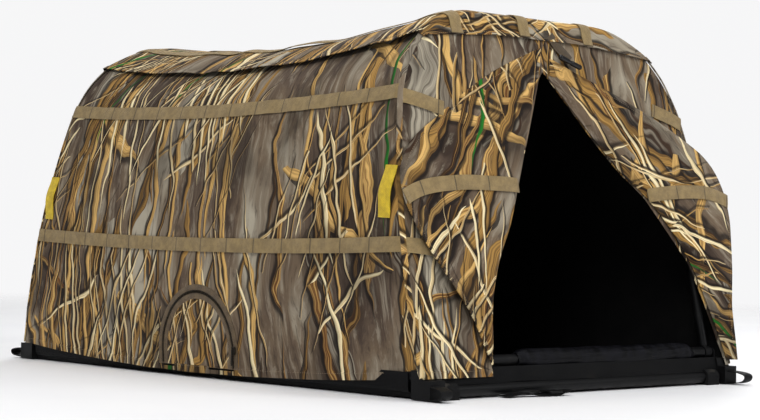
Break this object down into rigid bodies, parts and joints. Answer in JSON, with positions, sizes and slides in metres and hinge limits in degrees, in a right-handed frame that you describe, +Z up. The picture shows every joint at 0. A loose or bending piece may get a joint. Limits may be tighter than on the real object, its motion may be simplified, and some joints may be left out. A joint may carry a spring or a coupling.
{
  "type": "layout field blind",
  "caption": "Hooded ground blind for a hunting dog: camouflage cloth over two folding hoops on a tube base, folded-back door, padded sill, zipped side hatch and webbing straps.",
  "frame": {"origin": "centre of the bounding box, on the ground", "axes": "+Z up, -Y out of the doorway, +X to the right for someone facing the rear wall from the doorway"},
  "size_m": [0.804, 1.252, 0.6211],
  "materials": {
    "tube_paint": "satin powder coat",
    "connector_plastic": "moulded, lightly textured",
    "foot_rubber": "matt",
    "bolt_steel": "zinc plated",
    "pad_cloth": "coated polyester over foam",
    "floor_cloth": "coated heavy polyester",
    "camo_cloth": "printed reed camouflage, black coated inside",
    "olive_webbing": "flat woven webbing",
    "yellow_webbing": "flat woven webbing",
    "zip_tape": "woven tape with a dark coil",
    "black_webbing": "flat woven webbing",
    "toggle_plastic": "smooth moulding"
  },
  "bodies": {
    "base": {"left_rail": "tube_paint", "right_rail": "tube_paint", "front_skid": "tube_paint", "rear_skid": "tube_paint", "corner_connectors": "connector_plastic", "rubber_feet": "foot_rubber", "front_sill_tube": "tube_paint", "rear_sill_tube": "tube_paint", "sill_plugs": "connector_plastic", "pivot_bolts": "bolt_steel", "pivot_washers": "bolt_steel", "sill_pad": "pad_cloth", "floor_pan": "floor_cloth", "left_side_panel": "camo_cloth", "right_side_panel": "camo_cloth", "roof_panel": "camo_cloth", "front_left_panel": "camo_cloth", "front_right_panel": "camo_cloth", "rear_panel": "camo_cloth", "left_upper_strap": "olive_webbing", "left_lower_strap": "olive_webbing", "right_upper_strap": "olive_webbing", "right_lower_strap": "olive_webbing", "front_left_straps": "olive_webbing", "front_right_straps": "olive_webbing", "rear_straps": "olive_webbing", "roof_left_strap": "olive_webbing", "roof_centre_strap": "olive_webbing", "roof_right_strap": "olive_webbing", "pull_tabs": "yellow_webbing", "door_toggle": "toggle_plastic", "toggle_loop": "olive_webbing", "hatch_zip_tape": "zip_tape", "stake_loops": "black_webbing", "tie_strap": "black_webbing", "tie_buckle": "connector_plastic"},
    "front_hoop": {"front_hoop": "tube_paint", "front_hoop_eyes": "connector_plastic"},
    "rear_hoop": {"rear_hoop": "tube_paint", "rear_hoop_eyes": "connector_plastic"},
    "left_flap": {"left_door_flap": "camo_cloth", "left_flap_strap": "olive_webbing"},
    "right_flap": {"right_door_flap": "camo_cloth", "right_flap_strap": "olive_webbing"},
    "hatch_door": {"hatch_flap": "camo_cloth"},
    "zip_slider": {"hatch_slider": "toggle_plastic", "hatch_puller": "toggle_plastic"}
  },
  "joints": [
    {"name": "front_hoop_fold", "type": "hinge", "parent": "base", "child": "front_hoop", "pos_m": [-0.02405, -0.557, 0.055], "axis": [-1, 0, 0], "range_deg": [0, 74.8]},
    {"name": "rear_hoop_fold", "type": "hinge", "parent": "base", "child": "rear_hoop", "pos_m": [-0.02405, 0.56, 0.05], "axis": [1, 0, 0], "range_deg": [0, 75.6]},
    {"name": "left_flap_fold", "type": "hinge", "parent": "base", "child": "left_flap", "pos_m": [-0.24605, -0.57923, 0.06569], "axis": [0.3963, 0.194, 0.8974], "range_deg": [0, 180]},
    {"name": "right_flap_fold", "type": "hinge", "parent": "base", "child": "right_flap", "pos_m": [0.33895, -0.58191, 0.07694], "axis": [0.5929, -0.1702, -0.7871], "range_deg": [0, 180]},
    {"name": "hatch_open", "type": "hinge", "parent": "base", "child": "hatch_door", "pos_m": [-0.38995, -0.01, 0.019], "axis": [0, -1, 0], "range_deg": [0, 85]},
    {"name": "hatch_zip_run", "type": "hinge", "parent": "base", "child": "zip_slider", "pos_m": [-0.39555, -0.01, 0.046], "axis": [-0.9993, 0, -0.038], "range_deg": [0, 173]}
  ],
  "couplings": [
    {"joint": "rear_hoop_fold", "follows": "front_hoop_fold", "ratio": 1.01}
  ]
}
